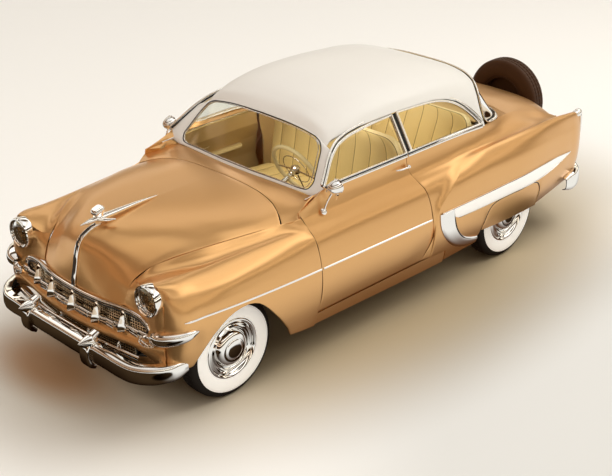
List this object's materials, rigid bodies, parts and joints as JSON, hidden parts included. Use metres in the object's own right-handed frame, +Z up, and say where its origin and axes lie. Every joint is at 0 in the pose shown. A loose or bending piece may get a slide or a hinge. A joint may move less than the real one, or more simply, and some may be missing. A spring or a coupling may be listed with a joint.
{
  "type": "two-door sedan of the 1950s",
  "caption": "Full-size two-door fifties sedan with rounded copper body, cream roof, toothed grille, fender skirts and an upright spare wheel behind the trunk.",
  "frame": {"origin": "on the ground under the middle of the car's outline", "axes": "+X the car's left side, -Y its front, +Z up"},
  "size_m": [1.946, 5.02, 1.675],
  "materials": {
    "paint": "copper metallic enamel",
    "roof_paint": "cream enamel",
    "chrome": "polished",
    "dark_mesh": "dark mesh",
    "glass": "clear",
    "lamp": "lens",
    "red_lamp": "red lens",
    "tyre": "black rubber",
    "wheel_paint": "bright rim and cap",
    "chassis": "black chassis paint",
    "steel": "bare",
    "iron": "cast",
    "upholstery": "olive gold cloth",
    "trim_plastic": "cream",
    "dash_paint": "tan enamel",
    "shelf_board": "tan board"
  },
  "bodies": {
    "body": {"frame": "chassis", "floor_pan": "chassis", "firewall": "paint", "front_fenders": "paint", "nose_panel": "paint", "grille": "chrome", "lower_grille": "dark_mesh", "headlamps": "lamp", "parking_lamps": "lamp", "tail_lamps": "red_lamp", "rockers": "paint", "quarter_panels": "paint", "fender_skirts": "paint", "rear_deck": "paint", "tail_panel": "paint", "roof": "roof_paint", "windshield": "glass", "rear_window": "glass", "quarter_windows": "glass", "engine_block": "iron", "fuel_tank": "steel", "exhaust": "steel", "front_suspension": "chassis", "rear_axle": "iron", "rear_springs": "chassis", "steering_column": "trim_plastic", "dashboard": "dash_paint", "front_seat": "upholstery", "rear_seat": "upholstery", "parcel_shelf": "shelf_board", "inner_fenders": "chassis", "front_bumper": "chrome", "rear_bumper": "chrome", "spare_carrier": "chassis", "spare_wheel": "wheel_paint", "spare_tyre": "tyre"},
    "hood": {"hood": "paint"},
    "trunk_lid": {"trunk_lid": "paint"},
    "door_left": {"door_left": "paint", "door_window_left": "glass", "mirror_left": "chrome"},
    "door_right": {"door_right": "paint", "door_window_right": "glass", "mirror_right": "chrome"},
    "knuckle_left": {"knuckle_left": "iron"},
    "knuckle_right": {"knuckle_right": "iron"},
    "wheel_front_left": {"wheel_front_left": "wheel_paint", "tyre_front_left": "tyre"},
    "wheel_front_right": {"wheel_front_right": "wheel_paint", "tyre_front_right": "tyre"},
    "wheel_rear_left": {"wheel_rear_left": "wheel_paint", "tyre_rear_left": "tyre"},
    "wheel_rear_right": {"wheel_rear_right": "wheel_paint", "tyre_rear_right": "tyre"},
    "steering_wheel": {"steering_wheel": "trim_plastic"}
  },
  "joints": [
    {"name": "hood_hinge", "type": "hinge", "parent": "body", "child": "hood", "pos_m": [0, -1.026, 1.156], "axis": [-1, 0, 0], "range_deg": [0, 50]},
    {"name": "trunk_hinge", "type": "hinge", "parent": "body", "child": "trunk_lid", "pos_m": [0, 1.413, 1.18], "axis": [1, 0, 0], "range_deg": [0, 60]},
    {"name": "door_left_hinge", "type": "hinge", "parent": "body", "child": "door_left", "pos_m": [0.9525, -0.915, 0.75], "axis": [0, 0, -1], "range_deg": [0, 65]},
    {"name": "door_right_hinge", "type": "hinge", "parent": "body", "child": "door_right", "pos_m": [-0.9525, -0.915, 0.75], "axis": [0, 0, 1], "range_deg": [0, 65]},
    {"name": "steer_left", "type": "hinge", "parent": "body", "child": "knuckle_left", "pos_m": [0.672, -1.65, 0.35], "axis": [0, 0, 1], "range_deg": [-30, 30]},
    {"name": "steer_right", "type": "hinge", "parent": "body", "child": "knuckle_right", "pos_m": [-0.672, -1.65, 0.35], "axis": [0, 0, 1], "range_deg": [-30, 30]},
    {"name": "steering_column_turn", "type": "hinge", "parent": "body", "child": "steering_wheel", "pos_m": [0.31, -0.585, 1.145], "axis": [0, 0.9063, 0.4226], "range_deg": [-540, 540]},
    {"name": "front_left_roll", "type": "hinge", "parent": "knuckle_left", "child": "wheel_front_left", "pos_m": [0.72, -1.65, 0.35], "axis": [1, 0, 0], "continuous": true},
    {"name": "front_right_roll", "type": "hinge", "parent": "knuckle_right", "child": "wheel_front_right", "pos_m": [-0.72, -1.65, 0.35], "axis": [1, 0, 0], "continuous": true},
    {"name": "rear_left_roll", "type": "hinge", "parent": "body", "child": "wheel_rear_left", "pos_m": [0.747, 1.271, 0.35], "axis": [1, 0, 0], "continuous": true},
    {"name": "rear_right_roll", "type": "hinge", "parent": "body", "child": "wheel_rear_right", "pos_m": [-0.747, 1.271, 0.35], "axis": [1, 0, 0], "continuous": true}
  ],
  "couplings": [
    {"joint": "steer_right", "follows": "steer_left", "ratio": 1},
    {"joint": "steering_column_turn", "follows": "steer_left", "ratio": 18}
  ]
}
